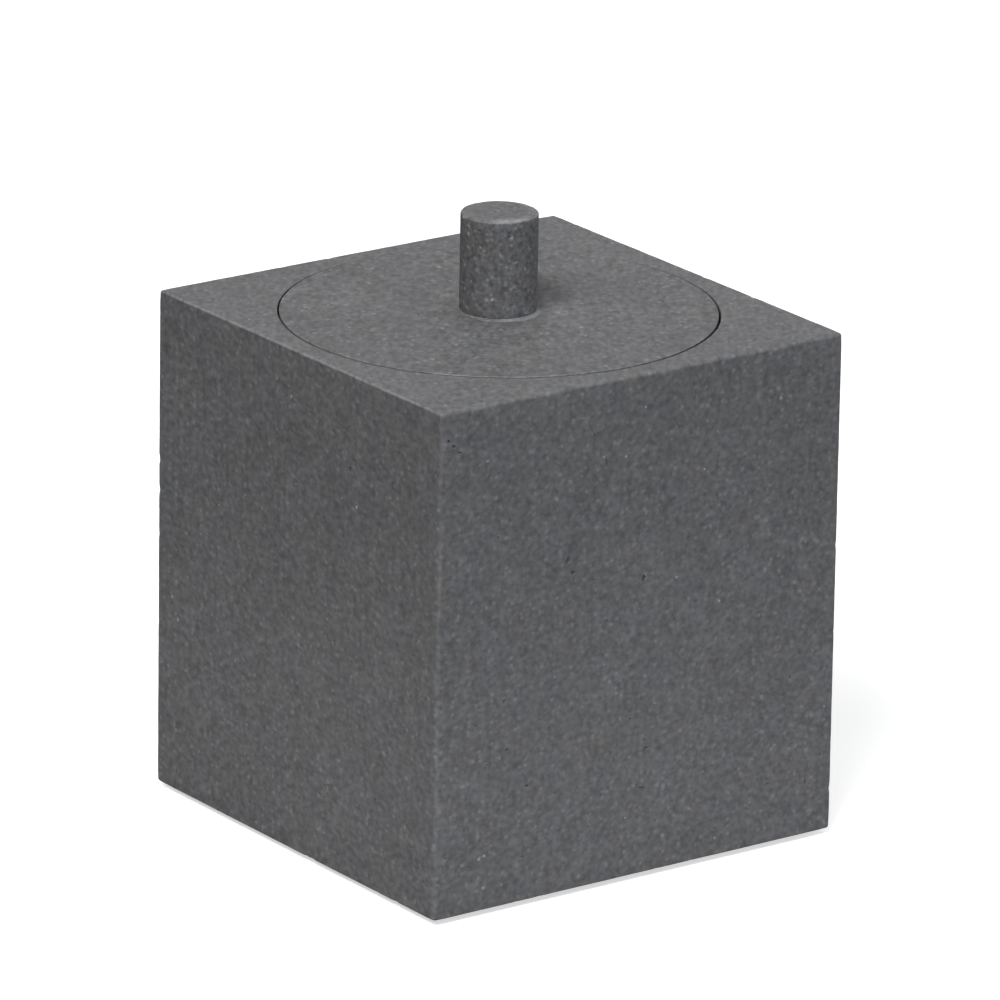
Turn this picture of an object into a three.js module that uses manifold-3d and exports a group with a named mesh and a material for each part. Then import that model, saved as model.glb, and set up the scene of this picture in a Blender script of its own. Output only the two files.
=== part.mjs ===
// A square stone jar for cotton swabs, with a round stone lid let into its top.
// Millimetres, +Z up. The origin is the centre of the footprint, at the height that the feet stand on.

import * as THREE from 'three';
import { mergeVertices } from 'three/addons/utils/BufferGeometryUtils.js';
import Module from 'manifold-3d';

// Stone block: one sawn and honed cube, bored from above
const blockSide = 100;
const blockHeight = 107;
const blockEdgeBreak = 0.5;

// Bored well and the seat for the lid
const rimWall = 4.65;
const lidRunningGap = 0.45;
const ledgeWidth = 5;
const floorThickness = 12;
const wellFloorFillet = 3;
const boreEdgeBreak = 0.3;

// Lid, which stands a little proud of the block
const lidThickness = 10;
const lidProud = 0.25;
const lidEdgeBreak = 0.3;

// Silicone ring that the lid rests on
const ringThickness = 1;
const ringMargin = 0.8;
const ringEdgeRound = 0.3;

// Knob
const knobDiameter = 16;
const knobHeight = 20.4;
const knobEdgeBreak = 0.4;

// Bond under the knob: a layer of stone adhesive with a little squeezed out around it
const bondThickness = 0.6;
const bondSqueezeOut = 0.3;

// Dowel that holds the knob to the lid
const dowelDiameter = 4;
const dowelClearance = 0.3;
const dowelEdgeBreak = 0.4;
const lidSkinUnderDowel = 3.5;
const knobCapOverDowel = 8;

// Feet: round rubber discs stuck under the corners of the block
const footDiameter = 12;
const footThickness = 1.2;
const footInset = 8;
const footEdgeRound = 0.4;

// How far a cutting solid runs past the face that it opens
const cutOverrun = 1;

// Steps along each round shape
const boreSegments = 96;
const knobSegments = 64;
const dowelSegments = 24;
const footSegments = 32;
const filletSteps = 2;

// Radii that follow from the sizes above
const recessRadius = blockSide / 2 - rimWall;
const wellRadius = recessRadius - ledgeWidth;
const lidRadius = recessRadius - lidRunningGap;
const ringOuterRadius = recessRadius - ringMargin;
const ringInnerRadius = wellRadius + ringMargin;
const knobRadius = knobDiameter / 2;
const dowelRadius = dowelDiameter / 2;
const dowelHoleRadius = dowelRadius + dowelClearance;
const footRadius = footDiameter / 2;

// Levels, from the feet up
const blockBottom = footThickness;
const blockTop = blockBottom + blockHeight;
const wellFloor = blockBottom + floorThickness;
const lidTop = blockTop + lidProud;
const lidBottom = lidTop - lidThickness;
const ledgeTop = lidBottom - ringThickness;
const knobBottom = lidTop + bondThickness;
const knobTop = knobBottom + knobHeight;
const dowelBottom = lidBottom + lidSkinUnderDowel;
const dowelTop = knobTop - knobCapOverDowel;

const wasm = await Module();
wasm.setup();

// A closed three.js geometry as a solid that can be cut
function toSolid(geometry) {
  const bare = geometry.clone();
  bare.deleteAttribute('normal');
  bare.deleteAttribute('uv');
  const merged = mergeVertices(bare);
  const corners = merged.index.array;
  const triangles = [];
  for (let i = 0; i < corners.length; i += 3) {
    const [a, b, c] = corners.slice(i, i + 3);
    if (a !== b && b !== c && c !== a) triangles.push(a, b, c);
  }
  return new wasm.Manifold(new wasm.Mesh({
    numProp: 3,
    vertProperties: merged.getAttribute('position').array,
    triVerts: new Uint32Array(triangles),
  }));
}

// A cut solid as a three.js geometry
function toGeometry(solid) {
  const mesh = solid.getMesh();
  const geometry = new THREE.BufferGeometry();
  geometry.setAttribute('position', new THREE.BufferAttribute(mesh.vertProperties, mesh.numProp));
  geometry.setIndex(new THREE.BufferAttribute(mesh.triVerts, 1));
  geometry.computeVertexNormals();
  return geometry;
}

// A profile of radius and height, turned about the vertical axis
function turned(profile, segments) {
  return new THREE.LatheGeometry(profile.getPoints(filletSteps), segments).rotateX(Math.PI / 2);
}

// A solid disc or pin between two levels, with its lower and upper edges broken
function discProfile(radius, bottom, top, lowerBreak, upperBreak) {
  const profile = new THREE.Path();
  profile.moveTo(0, bottom);
  profile.lineTo(radius - lowerBreak, bottom);
  profile.lineTo(radius, bottom + lowerBreak);
  profile.lineTo(radius, top - upperBreak);
  profile.lineTo(radius - upperBreak, top);
  profile.lineTo(0, top);
  return profile;
}

// A plain blind hole, from its floor up to its mouth
function holeProfile(radius, floor, mouth) {
  const profile = new THREE.Path();
  profile.moveTo(0, floor);
  profile.lineTo(radius, floor);
  profile.lineTo(radius, mouth);
  profile.lineTo(0, mouth);
  return profile;
}

function blockOutline() {
  const half = blockSide / 2;
  const cut = half - blockEdgeBreak;
  const outline = new THREE.Shape();
  outline.moveTo(-cut, -half);
  outline.lineTo(cut, -half);
  outline.lineTo(half, -cut);
  outline.lineTo(half, cut);
  outline.lineTo(cut, half);
  outline.lineTo(-cut, half);
  outline.lineTo(-half, cut);
  outline.lineTo(-half, -cut);
  outline.closePath();
  return outline;
}

// The bore: the well with its rounded floor, the ledge, and the recess that the lid drops into
function boreProfile() {
  const mouth = blockTop + cutOverrun;
  const profile = new THREE.Path();
  profile.moveTo(0, wellFloor);
  profile.lineTo(wellRadius - wellFloorFillet, wellFloor);
  profile.absarc(wellRadius - wellFloorFillet, wellFloor + wellFloorFillet, wellFloorFillet,
    -Math.PI / 2, 0, false);
  profile.lineTo(wellRadius, ledgeTop - boreEdgeBreak);
  profile.lineTo(wellRadius + boreEdgeBreak, ledgeTop);
  profile.lineTo(recessRadius, ledgeTop);
  profile.lineTo(recessRadius, blockTop - boreEdgeBreak);
  profile.lineTo(recessRadius + boreEdgeBreak + cutOverrun, mouth);
  profile.lineTo(0, mouth);
  return profile;
}

function stoneBlock() {
  const block = new THREE.ExtrudeGeometry(blockOutline(), {
    depth: blockHeight - 2 * blockEdgeBreak,
    bevelThickness: blockEdgeBreak,
    bevelSize: blockEdgeBreak,
    bevelOffset: -blockEdgeBreak,
    bevelSegments: 1,
  }).translate(0, 0, blockBottom + blockEdgeBreak);
  const bore = turned(boreProfile(), boreSegments);
  return toGeometry(toSolid(block).subtract(toSolid(bore)));
}

function lidDisc() {
  const disc = turned(discProfile(lidRadius, lidBottom, lidTop, lidEdgeBreak, lidEdgeBreak), boreSegments);
  const hole = turned(holeProfile(dowelHoleRadius, dowelBottom, lidTop + cutOverrun), dowelSegments);
  return toGeometry(toSolid(disc).subtract(toSolid(hole)));
}

function seatRing() {
  const profile = new THREE.Path();
  profile.moveTo(ringInnerRadius + ringEdgeRound, ledgeTop);
  profile.lineTo(ringOuterRadius - ringEdgeRound, ledgeTop);
  profile.lineTo(ringOuterRadius, ledgeTop + ringEdgeRound);
  profile.lineTo(ringOuterRadius, lidBottom - ringEdgeRound);
  profile.lineTo(ringOuterRadius - ringEdgeRound, lidBottom);
  profile.lineTo(ringInnerRadius + ringEdgeRound, lidBottom);
  profile.lineTo(ringInnerRadius, lidBottom - ringEdgeRound);
  profile.lineTo(ringInnerRadius, ledgeTop + ringEdgeRound);
  profile.lineTo(ringInnerRadius + ringEdgeRound, ledgeTop);
  return turned(profile, boreSegments);
}

function knobCylinder() {
  const pillar = turned(discProfile(knobRadius, knobBottom, knobTop, 0, knobEdgeBreak), knobSegments);
  const hole = turned(holeProfile(dowelHoleRadius, knobBottom - cutOverrun, dowelTop + dowelClearance),
    dowelSegments);
  return toGeometry(toSolid(pillar).subtract(toSolid(hole)));
}

// The adhesive spreads from the dowel's hole to just past the knob, and slopes up to the knob's edge
function bondLayer() {
  const outerRadius = knobRadius + bondSqueezeOut;
  const profile = new THREE.Path();
  profile.moveTo(dowelHoleRadius, lidTop);
  profile.lineTo(outerRadius, lidTop);
  profile.lineTo(knobRadius, knobBottom);
  profile.lineTo(dowelHoleRadius, knobBottom);
  profile.lineTo(dowelHoleRadius, lidTop);
  return turned(profile, knobSegments);
}

function dowelPin() {
  return turned(discProfile(dowelRadius, dowelBottom, dowelTop, dowelEdgeBreak, dowelEdgeBreak),
    dowelSegments);
}

function rubberFoot() {
  return turned(discProfile(footRadius, 0, footThickness, footEdgeRound, 0), footSegments);
}

const stone = { color: 0x5f6063, roughness: 0.72, metalness: 0 };
const silicone = { color: 0x3a3b3d, roughness: 0.6, metalness: 0 };
const adhesive = { color: 0x77797c, roughness: 0.45, metalness: 0 };
const steel = { color: 0xb4b5b6, roughness: 0.35, metalness: 0.9 };
const rubber = { color: 0x232324, roughness: 0.85, metalness: 0 };

const holder = new THREE.Group();
const ring = new THREE.Group();
const lid = new THREE.Group();

function place(group, name, geometry, finish, x = 0, y = 0) {
  const mesh = new THREE.Mesh(geometry, new THREE.MeshStandardMaterial(finish));
  mesh.name = name;
  mesh.position.set(x, y, 0);
  group.add(mesh);
}

place(holder, 'stone_block', stoneBlock(), stone);

const footPlace = blockSide / 2 - footInset - footRadius;
const corners = { front_left: [-1, -1], front_right: [1, -1], rear_right: [1, 1], rear_left: [-1, 1] };
for (const [corner, [sideX, sideY]] of Object.entries(corners)) {
  place(holder, `foot_${corner}`, rubberFoot(), rubber, sideX * footPlace, sideY * footPlace);
}

place(ring, 'lid_seat_ring', seatRing(), silicone);

place(lid, 'lid_disc', lidDisc(), stone);
place(lid, 'knob', knobCylinder(), stone);
place(lid, 'knob_bond', bondLayer(), adhesive);
place(lid, 'knob_dowel', dowelPin(), steel);

const jar = new THREE.Group();
jar.add(holder, ring, lid);

export default jar;
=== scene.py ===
"""Looks of the square stone jar for cotton swabs: its stone, its lid and knob, its ring and feet."""

import random
from itertools import product
from math import atan2, cos, hypot, pi, radians, sin, sqrt, tau

import bmesh
import bpy
from mathutils import Matrix, Vector, noise
from mathutils.geometry import delaunay_2d_cdt


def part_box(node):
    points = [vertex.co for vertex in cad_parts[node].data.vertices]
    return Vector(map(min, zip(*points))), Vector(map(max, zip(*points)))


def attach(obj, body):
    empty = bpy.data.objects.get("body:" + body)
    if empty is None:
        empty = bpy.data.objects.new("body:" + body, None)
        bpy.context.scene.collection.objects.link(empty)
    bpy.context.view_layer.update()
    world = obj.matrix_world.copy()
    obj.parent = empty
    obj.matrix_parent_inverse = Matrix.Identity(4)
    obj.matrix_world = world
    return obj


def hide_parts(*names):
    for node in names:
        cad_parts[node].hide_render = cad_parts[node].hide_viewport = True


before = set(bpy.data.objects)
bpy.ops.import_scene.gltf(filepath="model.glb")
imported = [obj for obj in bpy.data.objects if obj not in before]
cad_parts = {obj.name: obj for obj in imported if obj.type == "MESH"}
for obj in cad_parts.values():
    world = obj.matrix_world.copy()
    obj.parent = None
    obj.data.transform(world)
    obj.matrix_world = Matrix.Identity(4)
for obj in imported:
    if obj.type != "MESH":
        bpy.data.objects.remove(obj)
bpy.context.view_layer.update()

MM = 0.001

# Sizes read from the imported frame
BLOCK_LOW, BLOCK_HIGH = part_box("stone_block")
LID_LOW, LID_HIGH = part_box("lid_disc")
KNOB_LOW, KNOB_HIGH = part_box("knob")
RING_LOW, RING_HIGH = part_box("lid_seat_ring")
BEAD_LOW, BEAD_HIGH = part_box("knob_bond")
DOWEL_LOW, DOWEL_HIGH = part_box("knob_dowel")
SIDE = BLOCK_HIGH.x - BLOCK_LOW.x
LID_RADIUS = LID_HIGH.x
KNOB_RADIUS = KNOB_HIGH.x
LEDGE_TOP = RING_LOW.z

# Sizes inside the stone that no box gives
RUNNING_GAP = 0.45 * MM
LEDGE_WIDTH = 5 * MM
FLOOR_THICKNESS = 12 * MM
WELL_FILLET = 3 * MM
DOWEL_CLEARANCE = 0.3 * MM
RECESS_RADIUS = LID_RADIUS + RUNNING_GAP
WELL_RADIUS = RECESS_RADIUS - LEDGE_WIDTH
WELL_FLOOR = BLOCK_LOW.z + FLOOR_THICKNESS
HOLE_RADIUS = DOWEL_HIGH.x + DOWEL_CLEARANCE

# The photograph's camera, fitted to the corners of the block: lengths are in block sides
CAMERA_FOCAL_PX = 9874
CAMERA_AZIMUTH = radians(54.07)
CAMERA_ELEVATION = radians(18.22)
CAMERA_ROLL = radians(0.93)
CAMERA_DISTANCE = 20.50
CAMERA_SHIFT_RIGHT = 0.018
CAMERA_SHIFT_UP = 0.631
FRAME_PX = 1000
SENSOR = 36

# The level directions to the photograph's right and toward its camera, and the angle of the second
LEVEL_RIGHT = Vector((cos(CAMERA_AZIMUTH), sin(CAMERA_AZIMUTH), 0))
LEVEL_TOWARD = Vector((sin(CAMERA_AZIMUTH), -cos(CAMERA_AZIMUTH), 0))
CAMERA_TURN = CAMERA_AZIMUTH - pi / 2


def camera_axes():
    """The camera's right, up and back directions."""
    sin_e, cos_e = sin(CAMERA_ELEVATION), cos(CAMERA_ELEVATION)
    back = Vector((sin(CAMERA_AZIMUTH) * cos_e, -cos(CAMERA_AZIMUTH) * cos_e, sin_e))
    upright = back.cross(LEVEL_RIGHT)
    right = LEVEL_RIGHT * cos(CAMERA_ROLL) + upright * sin(CAMERA_ROLL)
    up = upright * cos(CAMERA_ROLL) - LEVEL_RIGHT * sin(CAMERA_ROLL)
    return right, up, back


CAMERA_RIGHT, CAMERA_UP, CAMERA_BACK = camera_axes()
CAMERA_PLACE = SIDE * (
    CAMERA_BACK * CAMERA_DISTANCE
    + CAMERA_RIGHT * CAMERA_SHIFT_RIGHT
    + CAMERA_UP * CAMERA_SHIFT_UP
) + Vector((0, 0, BLOCK_LOW.z))


def new_object(name, data):
    made = bpy.data.objects.new(name, data)
    bpy.context.scene.collection.objects.link(made)
    return made


def make_camera():
    data = bpy.data.cameras.new("photo_camera")
    data.sensor_width = SENSOR
    data.lens = SENSOR * CAMERA_FOCAL_PX / FRAME_PX
    camera = new_object("photo_camera", data)
    turn = Matrix((CAMERA_RIGHT, CAMERA_UP, CAMERA_BACK)).transposed().to_4x4()
    camera.matrix_world = Matrix.Translation(CAMERA_PLACE) @ turn
    bpy.context.scene.camera = camera


make_camera()


def seen_at(pixel, point, normal):
    """Where the sight line of a pixel of the photograph meets the plane through point."""
    across = (pixel[0] - FRAME_PX / 2) / CAMERA_FOCAL_PX
    down = (pixel[1] - FRAME_PX / 2) / CAMERA_FOCAL_PX
    ray = CAMERA_RIGHT * across - CAMERA_UP * down - CAMERA_BACK
    reach = (point - CAMERA_PLACE).dot(normal) / ray.dot(normal)
    return CAMERA_PLACE + ray * reach


def smooth_step(t):
    t = min(max(t, 0.0), 1.0)
    return t * t * (3 - 2 * t)


def between(low, high, share):
    return low + (high - low) * share


def near_angle(angle, middle, half):
    """1 at the middle angle, falling smoothly to 0 at half away from it."""
    off = abs((angle - middle + pi) % tau - pi)
    return 1 - smooth_step(off / half)


def ring_pairs(count):
    """The steps round a closed ring, each as the numbers of its two points."""
    return [(j, (j + 1) % count) for j in range(count)]


def spread(value, count):
    """A list of values as it is, or one value count times."""
    return value if isinstance(value, list) else [value] * count


def flattened(ring):
    return [Vector((p.x, p.y)) for p in ring]


def round_angles(count):
    return [tau * i / count for i in range(count)]


def quarter_angles(steps):
    return [pi / 2 * k / steps for k in range(steps + 1)]


def polar(radius, angle, height=0.0):
    return Vector((radius * cos(angle), radius * sin(angle), height))


# Mesh pieces

MARKS = ("wear", "pore", "crystal", "bored", "calm")


class Net:
    """The patches of one piece, each with its own vertices, joined where they meet.

    Each vertex has marks from 0 to 1: worn edge and painted edge highlight, pore and its painted shade,
    pale crystal and, on the knob's top, painted highlight, bored surface, calm grain.
    """

    def __init__(self):
        self.points, self.faces = [], []
        self.marks = {name: [] for name in MARKS}

    def patch(self, points, faces, **marks):
        first = len(self.points)
        self.points += [Vector(p) for p in points]
        self.faces += [[first + i for i in face] for face in faces]
        for name in MARKS:
            self.marks[name] += marks.get(name) or [0.0] * len(points)

    def grid(self, rows, closed=True, **marks):
        """Quads between rows of points; a mark has one value for each row, or one for each point."""
        count = len(rows[0])
        pairs = ring_pairs(count) if closed else ring_pairs(count)[:-1]
        faces = []
        for i in range(len(rows) - 1):
            low, high = i * count, (i + 1) * count
            faces += [[low + j, low + k, high + k, high + j] for j, k in pairs]
        for name, values in marks.items():
            marks[name] = [v for value in values for v in spread(value, count)]
        self.patch([p for row in rows for p in row], faces, **marks)

    def fan(self, ring, centre, **marks):
        """Triangles from a ring to its centre; a mark has one value, or one for each point."""
        count = len(ring)
        marks = {name: spread(value, count + 1) for name, value in marks.items()}
        self.patch([*ring, centre], [[j, k, count] for j, k in ring_pairs(count)], **marks)

    def shift(self, offset):
        self.points = [p + offset for p in self.points]


MERGE = 0.002 * MM
SMOOTH_ANGLE = radians(40)


def make_piece(name, net):
    """The joined piece as an object, shaded smooth but for its sharp edges."""
    mesh = bpy.data.meshes.new(name)
    shell = bmesh.new()
    layers = {mark: shell.verts.layers.float.new(mark) for mark in MARKS}
    verts = [shell.verts.new(place) for place in net.points]
    for mark, layer in layers.items():
        for vert, value in zip(verts, net.marks[mark]):
            vert[layer] = value
    for face in net.faces:
        shell.faces.new([verts[i] for i in face])
    bmesh.ops.remove_doubles(shell, verts=shell.verts, dist=MERGE)
    bmesh.ops.recalc_face_normals(shell, faces=shell.faces)
    open_edges = sum(1 for e in shell.edges if not e.is_manifold)
    print(f"{name}: {len(shell.faces)} faces, {open_edges} open edges")
    shell.to_mesh(mesh)
    shell.free()
    mesh.shade_smooth()
    mesh.set_sharp_from_angle(angle=SMOOTH_ANGLE)
    piece = new_object(name, mesh)
    flats = piece.modifiers.new("flat_faces_stay_flat", "WEIGHTED_NORMAL")
    flats.keep_sharp = True
    return piece


def circle(radius, height, count):
    """Points round the vertical axis; radius and height may each be a function of the angle."""
    points = []
    for angle in round_angles(count):
        r = radius(angle) if callable(radius) else radius
        z = height(angle) if callable(height) else height
        points.append(polar(r, angle, z))
    return points


def turned(profile, steps):
    """A circle of points for each radius and height of a profile."""
    return [circle(radius, height, steps) for radius, height in profile]


def turned_ring(section, steps):
    """A closed ring, turned from its section."""
    rows = turned(section, steps)
    net = Net()
    net.grid([*rows, rows[0]])
    return net


# Pores, which are small pits, and pale crystals, which lie flush

PORE, CRYSTAL = "pore", "crystal"
BLOCK_SEED, LID_SEED, KNOB_SEED = 41, 52, 63
SPECK_CORNERS = 11
SPECK_RAGGED = (0.66, 1.2)
SPECK_SPACE = 0.5 * MM
SPECK_MARGIN = 0.9 * MM
SPECK_TRIES = 60
PORE_RADII = (0.10 * MM, 0.34 * MM)
PORE_SMALLNESS = 2.2
PORE_STRETCH = (1.0, 1.35)
PORE_SHELF = 0.70
PORE_SHELF_DEPTH = 0.65
PORE_DEEP_SHARES = (0.35, 0.65)
CRYSTAL_RADII = (0.24 * MM, 0.42 * MM)
CRYSTAL_STRETCH = (0.8, 1.3)
CRYSTAL_ROOM = 1.4
CRYSTAL_SHELF = 0.6
CRYSTAL_DEPTH = 0.01 * MM
GRID_ROOM = 1.6
NET_PRECISION = MERGE / 8


class Speck:
    """One pore or crystal in the plane of a face."""

    def __init__(self, kind, centre, half_wide, half_high, tilt=0.0):
        self.kind, self.centre, self.tilt = kind, centre, tilt
        self.half_wide, self.half_high = half_wide, half_high
        self.reach = max(half_wide, half_high)

    def outline(self, rng):
        points = []
        cos_t, sin_t = cos(self.tilt), sin(self.tilt)
        for angle in round_angles(SPECK_CORNERS):
            r = rng.uniform(*SPECK_RAGGED)
            x, y = r * self.half_wide * cos(angle), r * self.half_high * sin(angle)
            points.append(self.centre + Vector((x * cos_t - y * sin_t, x * sin_t + y * cos_t)))
        return points

    def sink(self, net, rng, rim, lift):
        """The bowl of a pore or the flush top of a crystal, inside its rim."""
        if self.kind == PORE:
            shelf_share = PORE_SHELF
            deep = min(self.half_wide, self.half_high) * rng.uniform(*PORE_DEEP_SHARES)
            shelf_deep = deep * PORE_SHELF_DEPTH
        else:
            shelf_share = CRYSTAL_SHELF
            deep = shelf_deep = CRYSTAL_DEPTH
        shelf = [between(self.centre, p, shelf_share) for p in rim]
        points = [lift(p, 0.0) for p in rim] + [lift(p, shelf_deep) for p in shelf]
        count = len(rim)
        pairs = ring_pairs(count)
        quads = [[j, k, count + k, count + j] for j, k in pairs]
        fans = [[count + j, count + k, 2 * count] for j, k in pairs]
        # The pore mark darkens the bowl with painted shade.
        marks = {self.kind: [0.0] * count + [1.0] * (count + 1)}
        net.patch([*points, lift(self.centre, deep)], quads + fans, **marks)


def has_room(centre, reach, specks):
    """Whether there is a place, and a speck of this reach there keeps clear of the others."""
    return centre is not None and all(
        (centre - s.centre).length >= reach + s.reach * SPECK_RAGGED[1] + SPECK_SPACE for s in specks)


def scatter(count, taken, try_one):
    """The taken specks and count more. try_one gives the next one, or None where it has no room."""
    specks = list(taken)
    for _ in range(count * SPECK_TRIES):
        if len(specks) == count + len(taken):
            break
        speck = try_one(specks)
        if speck:
            specks.append(speck)
    return specks


def scatter_pores(rng, count, inside, taken=()):
    """Random pores. inside gives a place, or None if it isn't allowed."""
    def try_one(specks):
        centre = inside(rng)
        radius = between(*PORE_RADII, rng.random() ** PORE_SMALLNESS)
        stretch = rng.uniform(*PORE_STRETCH)
        if not has_room(centre, radius * stretch, specks):
            return None
        return Speck(PORE, centre, radius * stretch, radius / stretch, rng.uniform(0, pi))

    return scatter(count, taken, try_one)


def scatter_crystals(rng, count, inside, taken):
    def try_one(specks):
        centre = inside(rng)
        radius = rng.uniform(*CRYSTAL_RADII)
        if not has_room(centre, radius * CRYSTAL_ROOM, specks):
            return None
        half_wide = radius * rng.uniform(*CRYSTAL_STRETCH)
        return Speck(CRYSTAL, centre, half_wide, radius, rng.uniform(0, pi))

    return scatter(count, taken, try_one)


def pored_patch(net, rng, outline, holes, specks, lift, grid=(), pale=None, calm=0.0):
    """A patch in two dimensions with its pores and crystals.

    lift gives the place of a point at a depth, and pale how near a point is to a crystal's tone, which
    on the knob's top is a painted highlight.
    """
    rims = [speck.outline(rng) for speck in specks]
    points, loops = [], []
    for loop in [outline, *holes, *rims]:
        loops.append(list(range(len(points), len(points) + len(loop))))
        points += loop
    points += [p for p in grid if all((p - s.centre).length > s.reach * GRID_ROOM for s in specks)]
    flat, _, faces, _, _, owners = delaunay_2d_cdt(points, [], loops, 1, NET_PRECISION)
    solid = [face for face, owner in zip(faces, owners) if list(owner) == [0]]
    net.patch([lift(p, 0.0) for p in flat], solid, calm=[calm] * len(flat),
              crystal=[pale(p) for p in flat] if pale else None)
    for speck, rim in zip(specks, rims):
        speck.sink(net, rng, rim, lift)


# The honed block

ARRIS = 0.38 * MM
ARRIS_VARY = 0.08 * MM
ARRIS_CORNER = 0.55 * MM
ARRIS_STEP = 0.8 * MM
ARRIS_ARC_STEPS = 3
CORNER_BLEND = 2.5 * MM
WANDER_LENGTH = 5 * MM
WANDER_FINER = 3.1
WANDER_FINE_SHARE = 0.6
NOISE_SPAN = 50
CHIPS_PER_EDGE = 4
CHIP_PLACES = (0.06, 0.94)
CHIP_HALF_LENGTHS = (0.5 * MM, 1.4 * MM)
CHIP_DEPTHS = (0.06 * MM, 0.24 * MM)
CHIP_DENT = 0.5
SIGNS = (-1, 1)
# How pale the worn edges are, partly worn stone and partly a painted edge highlight: fainter near the
# corners, and across each arc in its middle rows
CORNER_PALE = 0.35
PALE_FADE = 9 * MM
ARC_WEAR_AND_HIGHLIGHT = [0.0] + [1.0] * (ARRIS_ARC_STEPS - 1) + [0.0]


def wander(broad, fine):
    """How far a worn edge strays, from noise at a broad and at a fine scale."""
    return noise.noise(broad) + WANDER_FINE_SHARE * noise.noise(fine)


class Arris:
    """How far one worn edge is rounded, along its length, with small chips, and how pale it is, both as
    worn stone and as a painted edge highlight.
    """

    def __init__(self, rng, length, mean=ARRIS, pale=1.0):
        self.length, self.mean, self.pale = length, mean, pale
        self.offset = Vector([rng.uniform(0, NOISE_SPAN) for _ in range(3)])
        self.chips = []
        for _ in range(CHIPS_PER_EDGE):
            middle, half = rng.uniform(*CHIP_PLACES) * length, rng.uniform(*CHIP_HALF_LENGTHS)
            self.chips.append((middle, half, rng.uniform(*CHIP_DEPTHS)))

    def chip(self, s):
        return max(deep * (1 - smooth_step(abs(s - middle) / half)) for middle, half, deep in self.chips)

    def paleness(self, s):
        """How pale the worn edge is, as worn stone and as painted highlight, less toward the corners."""
        inner = smooth_step(min(s, self.length - s) / PALE_FADE)
        return self.pale * between(CORNER_PALE, 1, inner)

    def rounding(self, s):
        near_end = smooth_step((min(s, self.length - s) - ARRIS_CORNER) / CORNER_BLEND)
        place = self.offset + Vector((s / WANDER_LENGTH, 0, 0))
        here = self.mean + ARRIS_VARY * wander(place, place * WANDER_FINER) + self.chip(s)
        return here * near_end + ARRIS_CORNER * (1 - near_end)


def arc_points(centre, radius, toward_a, toward_b, dent):
    """A quarter round from a to b about centre, drawn in by dent where the edge is chipped."""
    points = []
    for angle in quarter_angles(ARRIS_ARC_STEPS):
        direction = toward_a * cos(angle) + toward_b * sin(angle)
        inward = dent * sin(2 * angle) ** 2
        points.append(centre + direction * (radius - inward))
    return points


BLOCK_CENTRE = (BLOCK_LOW + BLOCK_HIGH) / 2
BLOCK_HALF = (BLOCK_HIGH - BLOCK_LOW) / 2
AXES = (Vector((1, 0, 0)), Vector((0, 1, 0)), Vector((0, 0, 1)))

# The edges that the photograph shows rounder: how far they are rounded, and how pale, which sets how
# strong the painted edge highlight is on each
FRONT_EDGE, RIGHT_TOP_EDGE, LEFT_TOP_EDGE = (2, 1, -1), (1, 1, 1), (0, -1, 1)
EDGE_LOOKS = {
    FRONT_EDGE: (0.9 * MM, 0.12),
    RIGHT_TOP_EDGE: (0.75 * MM, 0.10),
    LEFT_TOP_EDGE: (0.50 * MM, 1.0),
}


def block_edges(rng):
    """The twelve worn edges, keyed by the axis they run along and the signs of the other two."""
    return {
        key: Arris(rng, 2 * BLOCK_HALF[key[0]], *EDGE_LOOKS.get(key, (ARRIS, 1.0)))
        for key in product(range(3), SIGNS, SIGNS)
    }


def edge_stations(length):
    """Distances along an edge, from the rounding of one corner to that of the other."""
    inner = length - 2 * ARRIS_CORNER
    count = round(inner / ARRIS_STEP)
    return [ARRIS_CORNER + inner * i / count for i in range(count + 1)]


def add_edge(net, axis, sign_a, sign_b, arris):
    """The rounded strip along one edge of the block."""
    axis_a, axis_b = [i for i in range(3) if i != axis]
    normal_a, normal_b = AXES[axis_a] * sign_a, AXES[axis_b] * sign_b
    start = BLOCK_CENTRE + normal_a * BLOCK_HALF[axis_a] + normal_b * BLOCK_HALF[axis_b]
    start -= AXES[axis] * BLOCK_HALF[axis]
    columns = []
    for s in edge_stations(arris.length):
        e = arris.rounding(s)
        centre = start + AXES[axis] * s - (normal_a + normal_b) * e
        columns.append(arc_points(centre, e, normal_a, normal_b, arris.chip(s) * CHIP_DENT))
    pale = [arris.paleness(s) for s in edge_stations(arris.length)]
    net.grid(list(zip(*columns)), closed=False, wear=[[w * p for p in pale] for w in ARC_WEAR_AND_HIGHLIGHT])


def add_corner(net, signs):
    """The rounded corner where three edges meet."""
    normals = [AXES[i] * signs[i] for i in range(3)]
    outward = sum(normals, Vector())
    corner = BLOCK_CENTRE + sum((n * BLOCK_HALF[i] for i, n in enumerate(normals)), Vector())
    centre = corner - outward * ARRIS_CORNER
    loop = []
    for i in range(3):
        loop += arc_points(centre, ARRIS_CORNER, normals[i], normals[(i + 1) % 3], 0.0)[:-1]
    top = centre + outward.normalized() * ARRIS_CORNER
    # The corners take a faint pale mark, worn stone and painted highlight.
    wear = [0.0 if k % ARRIS_ARC_STEPS == 0 else CORNER_PALE for k in range(len(loop))]
    net.fan(loop, top, wear=[*wear, CORNER_PALE])


# Faces, by the axis of the normal and its sign; the photograph shows these three
RIGHT_FACE, LEFT_FACE, TOP_FACE = (0, 1), (1, -1), (2, 1)

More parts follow.
